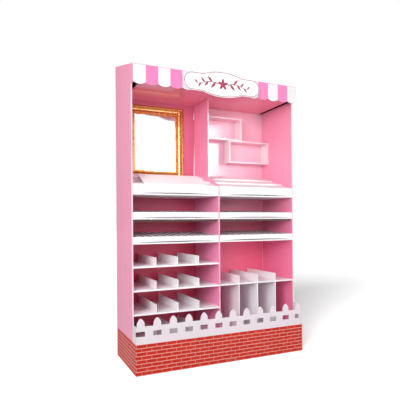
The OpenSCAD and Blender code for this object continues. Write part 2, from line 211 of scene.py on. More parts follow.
def makeEdgeGroup():
    # raw cut edge of a board: everything that doesn't face along its thickness
    group, entry, result = startGroup(
        "cutEdge",
        [("point", "NodeSocketVector", (0, 0, 0)), ("thickness", "NodeSocketVector", (0, 0, 1)),
         ("flutePitch", "NodeSocketFloat", flutePitch)],
        [("edge", "NodeSocketFloat"), ("flute", "NodeSocketFloat")])
    normal = place(group, "ShaderNodeNewGeometry").outputs["True Normal"]
    turned = calc(group, "ABSOLUTE", dot(group, normal, entry["thickness"]))
    wave = fluteWave(group, dot(group, entry["point"], (1.0, 1.0, 1.0)), entry["flutePitch"])
    feed(group, result["edge"], calc(group, "LESS_THAN", turned, edgeLook["limit"]))
    feed(group, result["flute"], remap(group, wave, -1.0, 1.0, 0.0, 1.0))
    return group


def makeScuffGroup():
    # marks of handling: short rubbed streaks, and more of them close to the floor
    group, entry, result = startGroup(
        "handlingScuffs",
        [("point", "NodeSocketVector", (0, 0, 0)), ("amount", "NodeSocketFloat", 0.3)],
        [("scuff", "NodeSocketFloat")])
    streak = noise(group, stretched(group, entry["point"], scuffLook["streakScale"]), 1.0, 5.0, 0.65)
    height = axesOf(group, entry["point"])["Z"]
    nearFloor = remap(group, height, 0.0, scuffLook["floorReach"], scuffLook["floorExtra"], 0.0)
    rubbed = remap(group, calc(group, "ADD", streak, nearFloor), *scuffLook["rubbedSpan"], 0.0, 1.0)
    feed(group, result["scuff"], calc(group, "MULTIPLY", rubbed, entry["amount"]))
    return group


sheetGroup = makeSheetGroup()
edgeGroup = makeEdgeGroup()
scuffGroup = makeScuffGroup()
print("node groups made")


# Materials

def startMaterial(name):
    material = bpy.data.materials.new(name)
    material.use_nodes = True
    tree = material.node_tree
    return material, tree, tree.nodes["Principled BSDF"].inputs


def bump(tree, height, distance, strength=1.0):
    node = place(tree, "ShaderNodeBump")
    feed(tree, node.inputs["Height"], height)
    node.inputs["Distance"].default_value = distance
    node.inputs["Strength"].default_value = strength
    return node.outputs["Normal"]


def boardMaterial(name, look, printAndLightColour=None):
    material, tree, shader = startMaterial(name)
    point = objectPoint(tree)
    sheet = useGroup(tree, sheetGroup, point=point, fluteRun=look["fluteRun"], ripple=look["ripple"],
                     crinkle=look["crinkle"])
    scuffs = useGroup(tree, scuffGroup, point=point, amount=look["scuffs"])
    tone = remap(tree, sheet["tone"], *noiseSpan, 0.0, look["toneSpread"])
    # the colour function gives print, and on some boards painted light as well
    colour = printAndLightColour(tree, point) if printAndLightColour else look["colour"]
    colour = mixColour(tree, tone, colour, look["shade"], "MULTIPLY")
    # painted shade: faces that the look's mask finds in shade get its dark colour
    if "hollow" in look:
        colour = mixColour(tree, look["hollow"](tree, point), colour, look["hollowColour"])
    if "thickness" in look:
        cut = useGroup(tree, edgeGroup, point=point, thickness=look["thickness"])
        core = mixColour(tree, cut["flute"], look["edgeColour"], look["edgeShade"])
        colour = mixColour(tree, cut["edge"], colour, core)
    colour = mixColour(tree, scuffs["scuff"], colour, look["scuffColour"])
    feed(tree, shader["Base Color"], colour)
    feed(tree, shader["Roughness"], remap(tree, sheet["gloss"], *noiseSpan, *look["roughness"]))
    feed(tree, shader["Normal"], bump(tree, sheet["height"], look["bump"]))
    shader["Specular IOR Level"].default_value = look["specular"]
    return material


alongX = (1.0, 0.0, 0.0)
alongY = (0.0, 1.0, 0.0)
alongZ = (0.0, 0.0, 1.0)
toLeft = (-1.0, 0.0, 0.0)
toFront = (0.0, -1.0, 0.0)
toFloor = (0.0, 0.0, -1.0)

# the near-black colour here is painted shade, for board faces in the dark roof space above the ceiling
pinkLook = {
    "colour": ink(255, 148, 172), "shade": ink(240, 220, 228), "toneSpread": 0.2,
    "hollowColour": ink(20, 12, 12), "edgeColour": ink(255, 222, 234), "edgeShade": ink(250, 204, 219),
    "scuffColour": ink(252, 196, 212), "scuffs": 0.06, "roughness": (0.02, 0.06), "specular": 0.5,
    "bump": 0.0008, "ripple": 0.004, "crinkle": 0.03, "fluteRun": alongX,
}
# upper and lower are painted light: the inside is paler up high, where more light falls, and deeper pink
# low down in the shade; outer is partly painted sheen
wallLook = {"outer": ink(255, 153, 190), "upper": ink(255, 170, 199), "lower": ink(254, 137, 176)}
# painted light: the right half is painted much paler up high as painted glare, the left half darker up high
# as the divider's painted shadow; both are painted paler upwards
backLook = {
    "left": {"upper": ink(226, 121, 150), "lower": ink(250, 94, 130)},
    "right": {"upper": ink(255, 206, 222), "lower": ink(252, 119, 152)},
    "crinkle": 0.4, "edgeColour": ink(255, 214, 226), "edgeWidth": 2.5 * millimetre,
}
# upper and lower are painted light: the divider is painted paler upwards
dividerLook = {
    "upper": ink(254, 162, 198), "lower": ink(254, 156, 195),
    "edgeColour": ink(255, 190, 210), "edgeShade": ink(252, 172, 197),
}
paintedLightLevels = (0.65, 1.15)  # heights between which the laminate is painted paler upwards, as painted light
cubbyLook = {
    "colour": ink(253, 196, 212), "edgeColour": ink(255, 250, 252), "edgeShade": ink(252, 238, 243),
}
# the dark maroon colour here is painted shade, for the slot walls of the trays and the shelf tops under
# them
whiteLook = {
    "colour": ink(248, 247, 249), "shade": ink(240, 236, 240), "toneSpread": 0.2,
    "hollowColour": ink(72, 34, 46), "edgeColour": ink(248, 246, 249), "edgeShade": ink(238, 232, 236),
    "scuffColour": ink(226, 218, 220), "scuffs": 0.1, "roughness": (0.36, 0.5), "specular": 0.3,
    "bump": 0.0005, "ripple": 0.02, "crinkle": 0.1, "fluteRun": alongY,
}
bayBounceLook = {"shelf": ink(240, 202, 215), "partition": ink(250, 224, 240)}  # painted light: pink bounce light on white card deep in the bays
# painted shade: the fence is the white card made a little darker, for the lesser light low down
fenceColour = ink(230, 220, 226)
bareLook = {
    "colour": ink(122, 108, 101), "shade": ink(196, 184, 176), "toneSpread": 1.0,
    "scuffColour": ink(150, 138, 130), "scuffs": 0.4, "roughness": (0.7, 0.9), "specular": 0.2,
    "bump": 0.0008, "ripple": 0.3, "crinkle": 0.5, "fluteRun": alongX,
}
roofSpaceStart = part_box("ceiling_panel")[0].z + 1.5 * millimetre
outerSkinStart = cadHigh.x - 4.5 * millimetre  # the outer faces of the sides lie beyond this


def facing(tree, direction):
    # 1 where the surface faces along the direction, 0 elsewhere
    normal = place(tree, "ShaderNodeNewGeometry").outputs["True Normal"]
    return calc(tree, "GREATER_THAN", dot(tree, normal, direction), 0.5)


def facingAside(tree):
    return calc(tree, "MAXIMUM", facing(tree, alongX), facing(tree, toLeft))


# masks for painted shade: board faces in the dark roof space above the ceiling, and faces under or inside
# the trays
def aboveCeiling(tree, point):
    return calc(tree, "GREATER_THAN", axesOf(tree, point)["Z"], roofSpaceStart)


def sideRoofShade(tree, point):
    inside = calc(tree, "LESS_THAN", calc(tree, "ABSOLUTE", axesOf(tree, point)["X"]), outerSkinStart)
    return calc(tree, "MULTIPLY", inside, aboveCeiling(tree, point))


def frontRoofShade(tree, point):
    return calc(tree, "MULTIPLY", facing(tree, toFront), aboveCeiling(tree, point))


def rearRoofShade(tree, point):
    return calc(tree, "MULTIPLY", facing(tree, alongY), aboveCeiling(tree, point))


def undersideShade(tree, point):
    return facing(tree, toFloor)


def topsideShade(tree, point):
    return facing(tree, alongZ)


def slotWallShade(tree, point):
    # the long walls of the slots in a tray, which lie in its shade
    return facingAside(tree)


# painted light: the colour pales upwards between the two heights, where more light falls
def heightLitTone(tree, point, look):
    rise = remap(tree, axesOf(tree, point)["Z"], *paintedLightLevels, 0.0, 1.0)
    return mixColour(tree, rise, look["lower"], look["upper"])


def sideLaminateAndLight(tree, point):
    # the laminate outside has one tone, made paler partly as painted sheen, and the one inside is painted
    # paler upwards as painted light
    outside = calc(tree, "GREATER_THAN", calc(tree, "ABSOLUTE", axesOf(tree, point)["X"]), outerSkinStart)
    return mixColour(tree, outside, heightLitTone(tree, point, wallLook), wallLook["outer"])


def backLaminateAndLight(tree, point):
    # the laminate stops just short of the sides, and the pale board shows there
    across = axesOf(tree, point)["X"]
    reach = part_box("right_side_panel")[0].x - backLook["edgeWidth"]
    corner = calc(tree, "GREATER_THAN", calc(tree, "ABSOLUTE", across), reach)
    # the two halves carry painted glare on the right and the divider's painted shadow on the left
    rightHalf = calc(tree, "GREATER_THAN", across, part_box("centre_divider")[0].x)
    left, right = (heightLitTone(tree, point, backLook[side]) for side in ("left", "right"))
    inside = mixColour(tree, corner, mixColour(tree, rightHalf, left, right), backLook["edgeColour"])
    return mixColour(tree, facing(tree, toFront), wallLook["outer"], inside)


def bayBounceTint(tree, point, bouncedPink):
    # painted light: white card is tinted with the pink light bounced around it, more so deep inside the
    # bays
    bayFront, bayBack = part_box("left_shelf_4")[0].y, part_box("back_panel")[0].y
    depth = remap(tree, axesOf(tree, point)["Y"], bayFront, bayBack, 0.0, 1.0)
    return mixColour(tree, depth, whiteLook["colour"], bouncedPink)


def shelfBounceTint(tree, point):
    return bayBounceTint(tree, point, bayBounceLook["shelf"])


def partitionBounceTint(tree, point):
    return bayBounceTint(tree, point, bayBounceLook["partition"])


def dividerLightTone(tree, point):
    return heightLitTone(tree, point, dividerLook)


def stripePrint(tree, point):
    low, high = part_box("striped_valance")
    stripeWidth = (high.x - low.x) / valanceLook["stripes"]
    across = calc(tree, "SUBTRACT", axesOf(tree, point)["X"], low.x)
    index = calc(tree, "FLOOR", calc(tree, "DIVIDE", across, stripeWidth))
    pinkOne = calc(tree, "PINGPONG", index, 1.0)
    return mixColour(tree, pinkOne, valanceLook["white"], valanceLook["pink"])


def brickPrint(tree, point):
    axes = axesOf(tree, point)
    onSide = facingAside(tree)
    across = mixValue(tree, onSide, axes["X"], axes["Y"])
    courses = calc(tree, "DIVIDE", axes["Z"], brickLook["course"])
    course = calc(tree, "FLOOR", courses)
    shift = calc(tree, "MULTIPLY", calc(tree, "PINGPONG", course, 1.0), brickLook["bond"])
    bricks = calc(tree, "ADD", calc(tree, "DIVIDE", across, brickLook["length"]), shift)
    bed = calc(tree, "LESS_THAN", calc(tree, "FRACT", courses), brickLook["bedJoint"] / brickLook["course"])
    end = calc(tree, "LESS_THAN", calc(tree, "FRACT", bricks), brickLook["endJoint"] / brickLook["length"])
    cell = place(tree, "ShaderNodeCombineXYZ")
    feed(tree, cell.inputs["X"], calc(tree, "FLOOR", bricks))
    feed(tree, cell.inputs["Y"], course)
    feed(tree, cell.inputs["Z"], onSide)
    chance = place(tree, "ShaderNodeTexWhiteNoise")
    feed(tree, chance.inputs["Vector"], cell.outputs[0])
    clay = mixColour(tree, chance.outputs["Value"], brickLook["dark"], brickLook["bright"])
    grain = noise(tree, point, brickLook["grainScale"], 3.0)
    specks = remap(tree, grain, *brickLook["speckSpan"], 0.0, brickLook["speckShare"])
    clay = mixColour(tree, specks, clay, brickLook["speck"])
    clay = mixColour(tree, calc(tree, "MULTIPLY", end, brickLook["endStrength"]), clay, brickLook["mortar"])
    return mixColour(tree, bed, clay, brickLook["mortar"])


valanceLook = {"stripes": 15, "white": ink(232, 230, 233), "pink": ink(240, 130, 184)}
brickLook = {
    "dark": ink(188, 24, 6), "bright": ink(206, 34, 10), "mortar": ink(222, 158, 150),
    "speck": ink(210, 66, 40), "grainScale": 320.0, "speckSpan": (0.35, 0.7), "speckShare": 0.35,
    "length": 52.5 * millimetre, "course": 19.3 * millimetre, "bond": 0.5,
    "bedJoint": 4.2 * millimetre, "endJoint": 3.0 * millimetre, "endStrength": 0.6,
}

frameLook = {
    "railWidth": 52 * millimetre, "outerRadius": 8 * millimetre, "innerRadius": 5 * millimetre,
    "innerDepth": 13 * millimetre, "coveDepth": 11 * millimetre, "coveSag": 3 * millimetre,
    "rimWidth": 6 * millimetre, "rimDepth": 7 * millimetre, "arcSteps": 12,
    "ropePitch": 13 * millimetre, "ropeHeight": 0.25 * millimetre, "ropeSlant": 0.5, "stepsPerRope": 8,
    "leafReach": 60 * millimetre, "leafPitch": 15 * millimetre, "leafHeight": 2.0 * millimetre,
    "leafDip": 0.4, "smoothAngle": 38,
}
goldLook = {  # tones across the rail, from its outer edge to the mirror, by share of its width; the pale middle band and the darker edges are partly painted highlight and shade
    "goldAndLightBands": [(0.0, ink(190, 104, 34)), (0.14, ink(216, 146, 48)), (0.3, ink(200, 122, 36)),
              (0.52, ink(252, 208, 130)), (0.66, ink(228, 160, 66)), (0.8, ink(204, 120, 36)),
              (0.94, ink(216, 136, 46))],
    "worn": ink(190, 110, 40), "wornScale": 45.0, "wornSpan": (0.45, 0.75), "wornShare": 0.5,
    "metallic": 0.65, "roughness": (0.2, 0.32), "coat": 1.0, "coatRoughness": 0.05,
    "crinkle": 0.0005, "crinkleScale": (110.0, 40.0, 40.0),
}


def railShare(tree, point):
    # how far across the frame's rail a point lies: 0 at the outer edge and 1 at the mirror
    low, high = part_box("mirror_frame")
    axes = axesOf(tree, point)
    insets = [calc(tree, "SUBTRACT", axes["X"], low.x), calc(tree, "SUBTRACT", high.x, axes["X"]),
              calc(tree, "SUBTRACT", axes["Z"], low.z), calc(tree, "SUBTRACT", high.z, axes["Z"])]
    nearX = calc(tree, "MINIMUM", insets[0], insets[1])
    nearZ = calc(tree, "MINIMUM", insets[2], insets[3])
    return calc(tree, "DIVIDE", calc(tree, "MINIMUM", nearX, nearZ), frameLook["railWidth"])


def makeGold():
    material, tree, shader = startMaterial("goldFoil")
    point = objectPoint(tree)
    worn = noise(tree, point, goldLook["wornScale"], 4.0, 0.6)
    crinkle = noise(tree, stretched(tree, point, goldLook["crinkleScale"]), 1.0, 2.0)
    ramp = place(tree, "ShaderNodeValToRGB")
    feed(tree, ramp.inputs["Fac"], railShare(tree, point))
    stops = ramp.color_ramp.elements
    while len(stops) < len(goldLook["goldAndLightBands"]):
        stops.new(0.5)
    for stop, (position, colour) in zip(stops, goldLook["goldAndLightBands"]):
        stop.position = position
        stop.color = colour
    rubbed = remap(tree, worn, *goldLook["wornSpan"], 0.0, goldLook["wornShare"])
    feed(tree, shader["Base Color"], mixColour(tree, rubbed, ramp.outputs["Color"], goldLook["worn"]))
    feed(tree, shader["Roughness"], remap(tree, worn, *noiseSpan, *goldLook["roughness"]))
    feed(tree, shader["Normal"], bump(tree, crinkle, goldLook["crinkle"]))
    shader["Metallic"].default_value = goldLook["metallic"]
    shader["Coat Weight"].default_value = goldLook["coat"]
    shader["Coat Roughness"].default_value = goldLook["coatRoughness"]
    return material


mirrorLook = {
    "clear": ink(254, 254, 254), "dull": ink(251, 251, 252), "roughness": (0.01, 0.04),
    "hazeScale": 18.0, "hazeSpan": (0.4, 0.7), "cells": 20, "smoothAngle": 30,
    "bow": 3.6 * millimetre, "lean": 2.6 * millimetre, "edge": 0.2 * millimetre,
}
foamLook = {
    "skin": ink(236, 234, 236), "cell": ink(250, 249, 250), "roughness": (0.75, 0.95),
    "cellScale": 900.0, "bump": 0.0006, "bumpStrength": 0.8,
}


def makeMirror():
    material, tree, shader = startMaterial("mirrorSheet")
    haze = noise(tree, objectPoint(tree), mirrorLook["hazeScale"], 4.0)
    dullness = remap(tree, haze, *mirrorLook["hazeSpan"], 0.0, 1.0)
    feed(tree, shader["Base Color"], mixColour(tree, dullness, mirrorLook["clear"], mirrorLook["dull"]))
    feed(tree, shader["Roughness"], remap(tree, haze, *mirrorLook["hazeSpan"], *mirrorLook["roughness"]))
    shader["Metallic"].default_value = 1.0
    return material


def makeFoam():
    material, tree, shader = startMaterial("foamPad")
    cells = place(tree, "ShaderNodeTexVoronoi")
    feed(tree, cells.inputs["Vector"], objectPoint(tree))
    cells.inputs["Scale"].default_value = foamLook["cellScale"]
    depth = cells.outputs["Distance"]
    feed(tree, shader["Base Color"], mixColour(tree, depth, foamLook["skin"], foamLook["cell"]))
    feed(tree, shader["Roughness"], remap(tree, depth, 0.0, 1.0, *foamLook["roughness"]))
    feed(tree, shader["Normal"], bump(tree, depth, foamLook["bump"], foamLook["bumpStrength"]))
    return material


def makeMaterials():
    pinkUpright = dict(pinkLook, thickness=alongX, fluteRun=alongY)
    pinkRear = dict(pinkLook, thickness=alongY, hollow=frontRoofShade, crinkle=backLook["crinkle"])
    pinkMiddle = dict(pinkUpright, edgeColour=dividerLook["edgeColour"], edgeShade=dividerLook["edgeShade"])
    pinkRoof = dict(pinkLook, colour=wallLook["outer"], hollow=undersideShade)
    whiteFlat = dict(whiteLook, thickness=alongZ)
    whiteUpright = dict(whiteLook, thickness=alongX)
    whiteFront = dict(whiteLook, fluteRun=alongX)
    valanceCard = dict(whiteFront, hollow=rearRoofShade, hollowColour=pinkLook["hollowColour"])
    return {
        "wall": boardMaterial("sideLaminate", dict(pinkUpright, hollow=sideRoofShade), sideLaminateAndLight),
        "back": boardMaterial("backLaminate", pinkRear, backLaminateAndLight),
        "divider": boardMaterial("dividerLaminate", pinkMiddle, dividerLightTone),
        "ceiling": boardMaterial("ceilingLaminate", dict(pinkLook, hollow=topsideShade)),
        "roof": boardMaterial("roofLaminate", pinkRoof),
        "cubby": boardMaterial("cubbyLaminate", dict(pinkLook, **cubbyLook, thickness=alongZ)),
        "shelf": boardMaterial("shelfCard", whiteFlat, shelfBounceTint),
        "covered": boardMaterial("coveredShelfCard", dict(whiteFlat, hollow=topsideShade)),
        "tray": boardMaterial("trayCard", dict(whiteLook, hollow=slotWallShade)),
        "upright": boardMaterial("dividerCard", whiteUpright),
        "partition": boardMaterial("partitionCard", whiteUpright, partitionBounceTint),
        "folded": boardMaterial("foldedCard", whiteLook),
        "fence": boardMaterial("fenceCard", dict(whiteFront, colour=fenceColour)),
        "valance": boardMaterial("valancePrintAndShade", valanceCard, stripePrint),
        "plaque": boardMaterial("plaqueCard", whiteFront),
        "brick": boardMaterial("brickPrint", whiteFront, brickPrint),
        "bare": boardMaterial("bareBoard", bareLook),
        "gold": makeGold(),
        "mirror": makeMirror(),
        "foam": makeFoam(),
    }


materials = makeMaterials()
pinkBoards = {
    "back_panel": "back", "centre_divider": "divider", "ceiling_panel": "ceiling", "canopy_roof": "roof",
}
coveredShelves = ("left_shelf_3", "right_shelf_3")  # seen through the slots of the trays on them; their tops get painted shade
bySlot = {
    "wall_pink": "wall", "fence_card": "fence", "valance_print": "valance", "plaque_board": "plaque",
    "foam_pad": "foam", "brick_print": "brick", "gold_frame": "gold", "mirror": "mirror",
    "bare_card": "bare", "cubby_pink": "cubby",
}


def whiteMaterialFor(name):
    if name in coveredShelves:
        return "covered"
    if "divider" in name:
        return "upright"
    if "shelf" in name or name == "plinth_deck":
        return "shelf"
    for kind in ("partition", "tray"):
        if kind in name:
            return kind
    return "folded"


def materialFor(name):
    slot = slotOf[name]
    if slot == "board_pink":
        return pinkBoards[name]
    if slot == "white_card":
        return whiteMaterialFor(name)
    return bySlot[slot]


for name, piece in nodes.items():
    material = materials[materialFor(name)]
    for index in range(len(piece.material_slots)):
        piece.material_slots[index].material = material
print("materials set on", len(nodes), "nodes")


# Added pieces

weldReach = 1e-7  # points of added pieces that lie closer than this become one
solidWeldReach = 1e-6  # the same for the faces of a solid


def addPiece(name, vertices, faces, material, slot, smoothAngle=None):
    mesh = bpy.data.meshes.new(name)
    mesh.from_pydata(vertices, [], faces)
    tidy = bmesh.new()
    tidy.from_mesh(mesh)
    bmesh.ops.remove_doubles(tidy, verts=tidy.verts, dist=weldReach)
    bmesh.ops.recalc_face_normals(tidy, faces=tidy.faces)
    if smoothAngle is not None:
        for face in tidy.faces:
            face.smooth = True
        for edge in tidy.edges:
            edge.smooth = len(edge.link_faces) == 2 and edge.calc_face_angle() < smoothAngle
    tidy.to_mesh(mesh)
    tidy.free()
    mesh.materials.append(material)
    piece = bpy.data.objects.new(name, mesh)
    scene.collection.objects.link(piece)
    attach(piece, "root")
    return piece


def frontLoop(name):
    # ordered outline (x, z) of a node's front face
    source = bmesh.new()
    source.from_mesh(nodes[name].data)
    bmesh.ops.remove_doubles(source, verts=source.verts, dist=solidWeldReach)
    front = [face for face in source.faces if face.normal.y < -0.9]
    rim = {}
    for face in front:
        for loop in face.loops:
            if sum(other in front for other in loop.edge.link_faces) == 1:
                rim[loop.vert.index] = loop.link_loop_next.vert.index
    source.verts.ensure_lookup_table()
    start = next(iter(rim))
    outline, index = [], start
    while True:
        vertex = source.verts[index].co
        outline.append(Vector((vertex.x, vertex.z)))
        index = rim[index]
        if index == start:
            break
    source.free()
    return outline


def evenLoop(points, count):
    # the same closed outline with evenly spaced points
    spans = [(points[i], points[(i + 1) % len(points)]) for i in range(len(points))]
    lengths = [(b - a).length for a, b in spans]
    step = sum(lengths) / count
    even, walked, wanted = [], 0.0, 0.0
    for (a, b), length in zip(spans, lengths):
        while wanted < walked + length - 1e-9 and len(even) < count:
            even.append(a.lerp(b, (wanted - walked) / length))
            wanted += step
        walked += length
    return even


def insetLoop(points, distance):
    # moves a closed outline inwards
    area = sum(a.x * b.y - b.x * a.y for a, b in zip(points, points[1:] + points[:1]))
    inward = 1 if area > 0 else -1
    moved = []
    for before, point, after in zip(points[-1:] + points[:-1], points, points[1:] + points[:1]):
        along = (after - before).normalized()
        moved.append(point + inward * distance * Vector((-along.y, along.x)))
    return moved


def prism(outline, frontY, backY):
    count = len(outline)
    vertices = [(p.x, y, p.y) for y in (frontY, backY) for p in outline]
    faces = [tuple(range(count)), tuple(range(count, 2 * count))]
    faces += [(i, (i + 1) % count, count + (i + 1) % count, count + i) for i in range(count)]
    return vertices, faces


def ribbonLoop(outer, inner, frontY, backY):
    count = len(outer)
    vertices = [(p.x, y, p.y) for y in (frontY, backY) for ring in (outer, inner) for p in ring]
    faces = []
    for i in range(count):
        j = (i + 1) % count
        faces.append((i, j, count + j, count + i))
        faces.append((2 * count + i, 2 * count + j, 3 * count + j, 3 * count + i))
        faces.append((i, j, 2 * count + j, 2 * count + i))
        faces.append((count + i, count + j, 3 * count + j, 3 * count + i))
    return vertices, faces


plaqueLook = {
    "ink": ink(164, 14, 74), "inkShade": ink(136, 8, 58), "grainScale": 260.0, "roughness": (0.35, 0.5),
    "proud": 0.5 * millimetre, "sunk": 0.2 * millimetre,
    "lineInset": 3.0 * millimetre, "lineWidth": 3.0 * millimetre, "linePoints": 360,
    "petals": 5, "petalDepth": 0.28, "blossomRadius": 31 * millimetre, "blossomPoints": 80,
    "sprigReach": 158 * millimetre, "sprigStart": 30 * millimetre, "sprigWave": 8 * millimetre,
    "sprigBend": 1.6, "stemWidth": 5.5 * millimetre, "stemTaper": 0.75, "stemSteps": 28,
    "leaves": 6, "leafLength": 44 * millimetre, "leafWidth": 15 * millimetre, "leafFullness": 0.8,
    "leafStart": 0.7, "leafLean": 48, "leafTaper": 0.45, "leafSteps": 8,
}


def makePlaqueInk():
    material, tree, shader = startMaterial("plaqueInk")
    grain = noise(tree, objectPoint(tree), plaqueLook["grainScale"], 3.0)
    feed(tree, shader["Base Color"], mixColour(tree, grain, plaqueLook["ink"], plaqueLook["inkShade"]))
    feed(tree, shader["Roughness"], remap(tree, grain, *noiseSpan, *plaqueLook["roughness"]))
    return material


def sprigLine(share):
    # centre line of a sprig, from the blossom outwards
    reach = plaqueLook["sprigStart"] + share * (plaqueLook["sprigReach"] - plaqueLook["sprigStart"])
    return Vector((reach, plaqueLook["sprigWave"] * math.sin(share * plaqueLook["sprigBend"] * math.pi)))


def leafOutline(root, heading, size):
    # a pointed oval that starts at its root
    look = plaqueLook
    along = Vector((math.cos(heading), math.sin(heading)))
    side = Vector((-along.y, along.x))
    shares = [i / look["leafSteps"] for i in range(look["leafSteps"] + 1)]
    top = [(share, math.sin(math.pi * share ** look["leafFullness"])) for share in shares]
    length, half = size * look["leafLength"], size * look["leafWidth"] / 2
    outline = [root + along * u * length + side * w * half for u, w in top]
    outline += [root + along * u * length - side * w * half for u, w in reversed(top[1:-1])]
    return outline


def blossomOutline(middle):
    look = plaqueLook
    outline = []
    for i in range(look["blossomPoints"]):
        angle = 2 * math.pi * i / look["blossomPoints"]
        swing = math.cos(look["petals"] * (angle - math.pi / 2))
        radius = look["blossomRadius"] * (1 - look["petalDepth"] + look["petalDepth"] * swing)
        outline.append(middle + radius * Vector((math.cos(angle), math.sin(angle))))
    return outline


def stemOutline(middle, side):
    look = plaqueLook
    shares = [i / look["stemSteps"] for i in range(look["stemSteps"] + 1)]
    outline = []
    for edge, run in ((1, shares), (-1, shares[::-1])):
        for share in run:
            point = sprigLine(share)
            half = look["stemWidth"] / 2 * (1.0 - look["stemTaper"] * share) * edge
            outline.append(middle + Vector((side * point.x, point.y + half)))
    return outline


def sprigLeaves(middle, side):
    look = plaqueLook
    outlines = []
    for i in range(look["leaves"]):
        share = (i + look["leafStart"]) / look["leaves"]
        lean = math.radians(look["leafLean"]) * (1 if i % 2 else -1)
        leaf = leafOutline(sprigLine(share), lean, 1.0 - look["leafTaper"] * share)
        outlines.append([middle + Vector((side * p.x, p.y)) for p in leaf])
    return outlines


def makePlaqueDetail():
    low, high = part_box("header_plaque")
    frontY, backY = low.y - plaqueLook["proud"], low.y + plaqueLook["sunk"]
    middle = Vector(((low.x + high.x) / 2, (low.z + high.z) / 2))
    material = makePlaqueInk()
    rim = evenLoop(frontLoop("header_plaque"), plaqueLook["linePoints"])
    outer = insetLoop(rim, plaqueLook["lineInset"])
    inner = insetLoop(rim, plaqueLook["lineInset"] + plaqueLook["lineWidth"])
    addPiece("plaque_border_line", *ribbonLoop(outer, inner, frontY, backY), material, "plaque_board")

    outlines = [blossomOutline(middle)]
    for side in (-1, 1):
        outlines.append(stemOutline(middle, side))
        outlines += sprigLeaves(middle, side)
    vertices, faces = [], []
    for outline in outlines:
        newVertices, newFaces = prism(outline, frontY, backY)
        faces += [tuple(index + len(vertices) for index in face) for face in newFaces]
        vertices += newVertices
    addPiece("plaque_flourish", vertices, faces, material, "plaque_board")
    print("plaque line and flourish made")


def arcPoints(centre, radius, start, end, steps):
    turns = [math.radians(start + (end - start) * i / steps) for i in range(steps + 1)]
    return [(centre[0] + radius * math.cos(turn), centre[1] + radius * math.sin(turn)) for turn in turns]


def railSection(depth):
    # the moulding from its outer edge to the mirror, as distance in and height off the wall
    look = frameLook
    steps = look["arcSteps"]
    rim = look["railWidth"] - look["rimWidth"]
    outer = (look["outerRadius"], depth - look["outerRadius"])
    inner = (rim - look["innerRadius"], look["innerDepth"] - look["innerRadius"])
    outerEnd = math.degrees(math.asin((look["coveDepth"] - outer[1]) / look["outerRadius"]))
    innerStart = 180 - math.degrees(math.asin((look["coveDepth"] - inner[1]) / look["innerRadius"]))
    points = [(0.0, 0.0)] + arcPoints(outer, look["outerRadius"], 180, outerEnd, steps)
    beyond = arcPoints(inner, look["innerRadius"], innerStart, 0, steps)
    start, end = points[-1][0], beyond[0][0]
    for i in range(1, steps):
        share = i / steps
        sag = look["coveSag"] * (1 - (2 * share - 1) ** 2)
        points.append((start + (end - start) * share, look["coveDepth"] - sag))
    flat = [(rim, look["rimDepth"]), (look["railWidth"], look["rimDepth"]), (look["railWidth"], 0.0)]
    return points + beyond + flat


def carving(run, length, inset):
    # how far the ornament stands off the plain moulding: a roped outer bead and leaves in the corners
    look = frameLook
    ropeEnd = 2 * look["outerRadius"]
    coveEnd = look["railWidth"] - look["rimWidth"] - 2 * look["innerRadius"]
    if 0 < inset < ropeEnd:
        across = math.sin(math.pi * inset / ropeEnd)
        twist = run + look["ropeSlant"] * inset
        groove = 0.5 - 0.5 * math.cos(2 * math.pi * twist / look["ropePitch"])
        return -look["ropeHeight"] * across * groove
    if ropeEnd <= inset < coveEnd:
        near = min(run, length - run)
        across = math.sin(math.pi * (inset - ropeEnd) / (coveEnd - ropeEnd))
        fade = max(0.0, 1 - near / look["leafReach"])
        ridge = 1 - look["leafDip"] + look["leafDip"] * math.cos(2 * math.pi * near / look["leafPitch"])
        return look["leafHeight"] * across * fade * ridge
    return 0.0


def makeFrame():
    low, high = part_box("mirror_frame")
    section = railSection(high.y - low.y)
    count = len(section)
    plan = ((low.x, low.z), (high.x, low.z), (high.x, high.z), (low.x, high.z))
    corners = [Vector(corner) for corner in plan]
    vertices, faces = [], []
    for start, end in zip(corners, corners[1:] + corners[:1]):
        length = (end - start).length
        along = (end - start) / length
        inward = Vector((-along.y, along.x))
        steps = round(length / frameLook["ropePitch"] * frameLook["stepsPerRope"])
        first = len(vertices)
        for step in range(steps + 1):
            for inset, height in section:
                run = inset + (length - 2 * inset) * step / steps
                point = start + along * run + inward * inset
                vertices.append((point.x, high.y - height - carving(run, length, inset), point.y))
        for step in range(steps):
            row = first + step * count
            faces += [(row + i, row + (i + 1) % count, row + count + (i + 1) % count, row + count + i)
                      for i in range(count)]
    smoothAngle = math.radians(frameLook["smoothAngle"])
    moulding = addPiece("gold_moulding", vertices, faces, materials["gold"], "gold_frame", smoothAngle)
    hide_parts("mirror_frame")
    print("frame made")


def makeMirrorSheet():
    # a thin sheet that bows back between top and bottom and leans forward a little
    low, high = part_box("mirror_sheet")
    cells = mirrorLook["cells"]
    side = cells + 1
    vertices, faces = [], []
    for layer in (0, 1):
        for row in range(side):
            for column in range(side):
                across, up = column / cells, row / cells
                front = low.y + mirrorLook["bow"] * (1 - (2 * up - 1) ** 2) - mirrorLook["lean"] * up
                x = low.x + across * (high.x - low.x)
                y = high.y - mirrorLook["edge"] if layer else front
                z = low.z + up * (high.z - low.z)
                vertices.append((x, y, z))
    size = side * side
    for row in range(cells):
        for column in range(cells):
            a = row * side + column
            for base in (a, a + size):
                faces.append((base, base + 1, base + side + 1, base + side))
    rim = list(range(cells)) + [row * side + cells for row in range(cells)]
    rim += [size - 1 - column for column in range(cells)] + [(cells - row) * side for row in range(cells)]
    faces += [(a, b, size + b, size + a) for a, b in zip(rim, rim[1:] + rim[:1])]
    smoothAngle = math.radians(mirrorLook["smoothAngle"])
    sheet = addPiece("mirror_glass", vertices, faces, materials["mirror"], "mirror", smoothAngle)
    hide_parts("mirror_sheet")
    print("mirror made")


